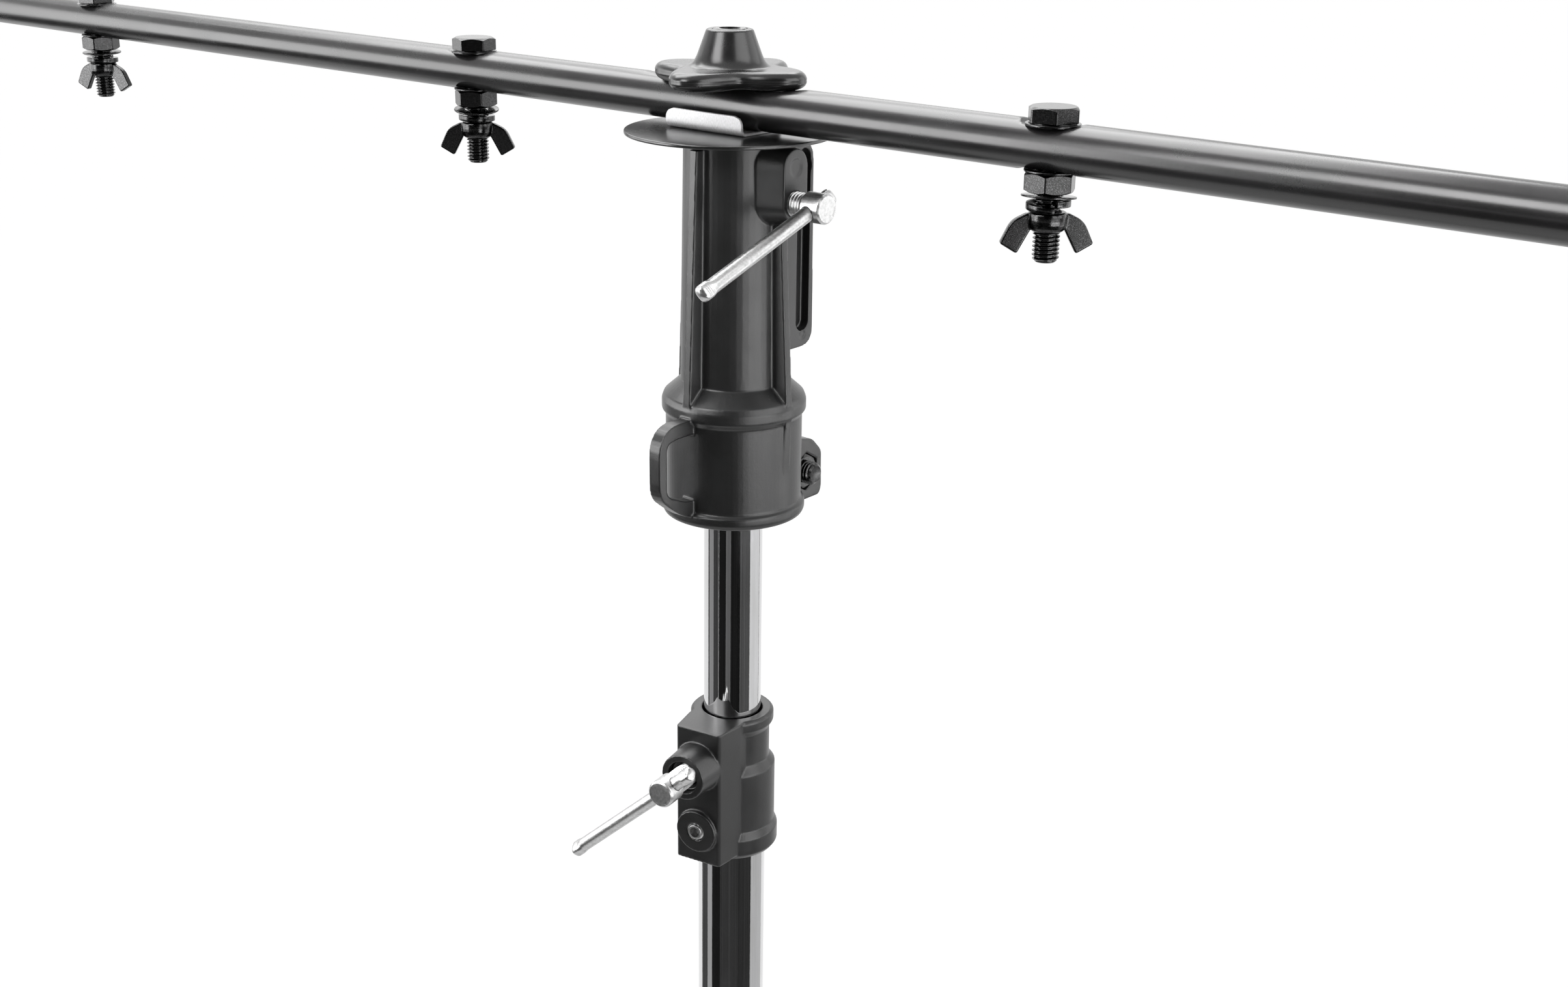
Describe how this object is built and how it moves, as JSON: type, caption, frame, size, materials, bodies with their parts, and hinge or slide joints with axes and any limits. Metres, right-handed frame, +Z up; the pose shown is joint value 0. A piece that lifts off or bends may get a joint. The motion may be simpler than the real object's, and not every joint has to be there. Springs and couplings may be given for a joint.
{
  "type": "lighting t bar stand",
  "caption": "Telescopic tripod stand whose receiver head carries a cross bar with hanging clamp bolts, locked by tommy bar screws and a star knob.",
  "frame": {"origin": "where the mast axis meets the floor, on the underside of the mast's rubber foot", "axes": "+Z up along the mast, +X along the T bar, +Y over one leg of the tripod"},
  "size_m": [1.2, 0.8967, 1.5787],
  "materials": {
    "chrome_tube": "mirror chromium plated steel tube",
    "black_casting": "satin black powder coat on a casting",
    "black_tube": "satin black powder coat",
    "bright_steel": "turned and bright zinc plated",
    "zinc_steel": "bright zinc plated sheet and bar",
    "black_zinc": "glossy black zinc",
    "black_plastic": "moulded, semi matt",
    "rubber_black": "matt moulded rubber",
    "nylon_pale": "natural nylon"
  },
  "bodies": {
    "mast_base": {"base_tube": "chrome_tube", "base_foot": "rubber_black", "lower_bracket": "black_casting", "lower_bracket_rivets": "zinc_steel", "lower_collar": "black_casting", "lower_set_screw": "black_zinc", "lower_shoe": "nylon_pale"},
    "leg_carrier": {"leg_hub": "black_casting", "leg_hub_rivets": "zinc_steel", "hub_shoe": "nylon_pale"},
    "middle_section": {"middle_tube": "chrome_tube", "middle_guide_bush": "nylon_pale", "upper_collar": "black_casting", "upper_set_screw": "black_zinc", "upper_shoe": "nylon_pale"},
    "top_section": {"top_tube": "chrome_tube", "top_guide_bush": "nylon_pale", "receiver_casting": "black_casting", "reducer_bush": "black_plastic", "skirt_bolt": "black_zinc", "skirt_nut": "black_zinc"},
    "t_bar_head": {"spigot": "zinc_steel", "stop_disc": "black_tube", "saddle": "zinc_steel", "t_bar_tube": "black_tube", "t_bar_end_caps": "black_plastic", "t_bar_bolts": "black_zinc", "t_bar_washers": "black_zinc", "lock_nuts": "black_zinc", "spring_washers": "black_zinc"},
    "knob": {"star_knob": "black_plastic", "knob_bolt": "zinc_steel"},
    "leg_screw": {"hub_screw": "bright_steel"},
    "leg_screw_bar": {"hub_tommy_bar": "bright_steel"},
    "lower_screw": {"lower_collar_screw": "bright_steel"},
    "lower_screw_bar": {"lower_tommy_bar": "bright_steel"},
    "upper_screw": {"upper_collar_screw": "bright_steel"},
    "upper_screw_bar": {"upper_tommy_bar": "bright_steel"},
    "head_screw": {"receiver_screw": "bright_steel"},
    "head_screw_bar": {"receiver_tommy_bar": "bright_steel"},
    "leg_1": {"leg_tube_1": "black_tube", "brace_clip_1": "zinc_steel", "brace_rivet_1": "zinc_steel", "rubber_foot_1": "rubber_black"},
    "brace_arm_1": {"brace_1": "black_tube"},
    "leg_2": {"leg_tube_2": "black_tube", "brace_clip_2": "zinc_steel", "brace_rivet_2": "zinc_steel", "rubber_foot_2": "rubber_black"},
    "brace_arm_2": {"brace_2": "black_tube"},
    "leg_3": {"leg_tube_3": "black_tube", "brace_clip_3": "zinc_steel", "brace_rivet_3": "zinc_steel", "rubber_foot_3": "rubber_black"},
    "brace_arm_3": {"brace_3": "black_tube"},
    "wing_1": {"wing_nut_1": "black_zinc"},
    "wing_2": {"wing_nut_2": "black_zinc"},
    "wing_3": {"wing_nut_3": "black_zinc"},
    "wing_4": {"wing_nut_4": "black_zinc"}
  },
  "joints": [
    {"name": "leg_hub_slide", "type": "slide", "parent": "mast_base", "child": "leg_carrier", "axis": [0, 0, 1], "range_m": [0, 0.16326]},
    {"name": "leg_1_pivot", "type": "hinge", "parent": "leg_carrier", "child": "leg_1", "pos_m": [0, 0.044, 0.43115], "axis": [-1, 0, 0], "range_deg": [0, 48.05]},
    {"name": "brace_1_pivot", "type": "hinge", "parent": "leg_1", "child": "brace_arm_1", "pos_m": [0, 0.23323, 0.25285], "axis": [-1, 0, 0], "range_deg": [-96.1, 0]},
    {"name": "leg_2_pivot", "type": "hinge", "parent": "leg_carrier", "child": "leg_2", "pos_m": [-0.0381, -0.022, 0.43115], "axis": [0.5, -0.866, 0], "range_deg": [0, 48.05]},
    {"name": "brace_2_pivot", "type": "hinge", "parent": "leg_2", "child": "brace_arm_2", "pos_m": [-0.20198, -0.11662, 0.25285], "axis": [0.5, -0.866, 0], "range_deg": [-96.1, 0]},
    {"name": "leg_3_pivot", "type": "hinge", "parent": "leg_carrier", "child": "leg_3", "pos_m": [0.0381, -0.022, 0.43115], "axis": [0.5, 0.866, 0], "range_deg": [0, 48.05]},
    {"name": "brace_3_pivot", "type": "hinge", "parent": "leg_3", "child": "brace_arm_3", "pos_m": [0.20198, -0.11662, 0.25285], "axis": [0.5, 0.866, 0], "range_deg": [-96.1, 0]},
    {"name": "middle_tube_slide", "type": "slide", "parent": "mast_base", "child": "middle_section", "axis": [0, 0, 1], "range_m": [-0.25, 0.45]},
    {"name": "top_tube_slide", "type": "slide", "parent": "middle_section", "child": "top_section", "axis": [0, 0, 1], "range_m": [-0.09, 0.62]},
    {"name": "t_bar_turn", "type": "hinge", "parent": "top_section", "child": "t_bar_head", "pos_m": [-0.0032, 0, 1.5378], "axis": [0, 0, 1], "continuous": true},
    {"name": "star_knob_turn", "type": "hinge", "parent": "t_bar_head", "child": "knob", "pos_m": [-0.0032, 0, 1.5569], "axis": [0, 0, 1], "continuous": true},
    {"name": "wing_nut_1_turn", "type": "hinge", "parent": "t_bar_head", "child": "wing_1", "pos_m": [-0.4496, 0, 1.5245], "axis": [0, 0, 1], "continuous": true},
    {"name": "wing_nut_2_turn", "type": "hinge", "parent": "t_bar_head", "child": "wing_2", "pos_m": [-0.152, 0, 1.5245], "axis": [0, 0, 1], "continuous": true},
    {"name": "wing_nut_3_turn", "type": "hinge", "parent": "t_bar_head", "child": "wing_3", "pos_m": [0.1456, 0, 1.5245], "axis": [0, 0, 1], "continuous": true},
    {"name": "wing_nut_4_turn", "type": "hinge", "parent": "t_bar_head", "child": "wing_4", "pos_m": [0.4432, 0, 1.5245], "axis": [0, 0, 1], "continuous": true},
    {"name": "leg_screw_turn", "type": "hinge", "parent": "leg_carrier", "child": "leg_screw", "pos_m": [0, -0.0459, 0.50515], "axis": [0, -1, 0], "continuous": true},
    {"name": "leg_screw_bar_slide", "type": "slide", "parent": "leg_screw", "child": "leg_screw_bar", "axis": [0.7431, 0, 0.6691], "range_m": [0, 0.0606]},
    {"name": "lower_screw_turn", "type": "hinge", "parent": "mast_base", "child": "lower_screw", "pos_m": [0.04189, 0.03641, 0.9377], "axis": [0.7547, 0.6561, 0], "continuous": true},
    {"name": "lower_screw_bar_slide", "type": "slide", "parent": "lower_screw", "child": "lower_screw_bar", "axis": [-0.4875, 0.5609, 0.6691], "range_m": [0, 0.0606]},
    {"name": "upper_screw_turn", "type": "hinge", "parent": "middle_section", "child": "upper_screw", "pos_m": [0.0092, -0.05219, 1.2707], "axis": [0.1736, -0.9848, 0], "continuous": true},
    {"name": "upper_screw_bar_slide", "type": "slide", "parent": "upper_screw", "child": "upper_screw_bar", "axis": [0.7319, 0.129, 0.6691], "range_m": [-0.006, 0.0546]},
    {"name": "head_screw_turn", "type": "hinge", "parent": "top_section", "child": "head_screw", "pos_m": [0.0411, 0, 1.514], "axis": [1, 0, 0], "range_deg": [-30, 150]},
    {"name": "head_screw_bar_slide", "type": "slide", "parent": "head_screw", "child": "head_screw_bar", "axis": [0, 0.9461, 0.3239], "range_m": [0, 0.0606]}
  ],
  "couplings": [
    {"joint": "leg_1_pivot", "follows": "leg_hub_slide", "rad_per_m": 5.1313},
    {"joint": "brace_1_pivot", "follows": "leg_hub_slide", "rad_per_m": -10.263},
    {"joint": "leg_2_pivot", "follows": "leg_hub_slide", "rad_per_m": 5.1313},
    {"joint": "brace_2_pivot", "follows": "leg_hub_slide", "rad_per_m": -10.263},
    {"joint": "leg_3_pivot", "follows": "leg_hub_slide", "rad_per_m": 5.1313},
    {"joint": "brace_3_pivot", "follows": "leg_hub_slide", "rad_per_m": -10.263}
  ]
}
